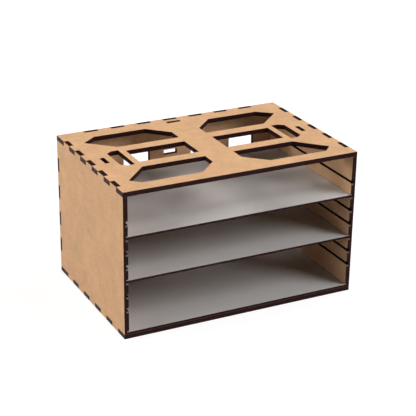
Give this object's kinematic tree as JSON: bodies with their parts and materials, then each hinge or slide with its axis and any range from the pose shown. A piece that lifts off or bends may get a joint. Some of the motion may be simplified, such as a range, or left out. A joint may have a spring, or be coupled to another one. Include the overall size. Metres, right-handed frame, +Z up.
{
  "type": "hobby workstation organizer",
  "caption": "Open-fronted finger-jointed fibreboard rack with white shelf sheets that slide in slots in its side walls, a pierced top and a windowed back.",
  "frame": {"origin": "centre of the underside", "axes": "+Z up, the open front faces -Y, +X to the right as seen from the front"},
  "size_m": [0.338, 0.228, 0.204],
  "materials": {
    "board": "raw fibreboard, laser-cut edges charred dark brown",
    "white_sheet": "thin fibreboard with a smooth white face, brown back, charred edges"
  },
  "bodies": {
    "carcass": {"floor_panel": "board", "top_panel": "board", "back_panel": "board", "left_wall_skin": "board", "left_runner": "board", "right_runner": "board", "right_wall_skin": "board"},
    "upper_shelf_sheet": {"upper_shelf": "white_sheet"},
    "middle_shelf_sheet": {"middle_shelf": "white_sheet"},
    "lower_shelf_sheet": {"lower_shelf": "white_sheet"}
  },
  "joints": [
    {"name": "upper_shelf_slide", "type": "slide", "parent": "carcass", "child": "upper_shelf_sheet", "axis": [0, -1, 0], "range_m": [0, 0.23]},
    {"name": "middle_shelf_slide", "type": "slide", "parent": "carcass", "child": "middle_shelf_sheet", "axis": [0, -1, 0], "range_m": [0, 0.23]},
    {"name": "lower_shelf_slide", "type": "slide", "parent": "carcass", "child": "lower_shelf_sheet", "axis": [0, -1, 0], "range_m": [0, 0.23]}
  ]
}
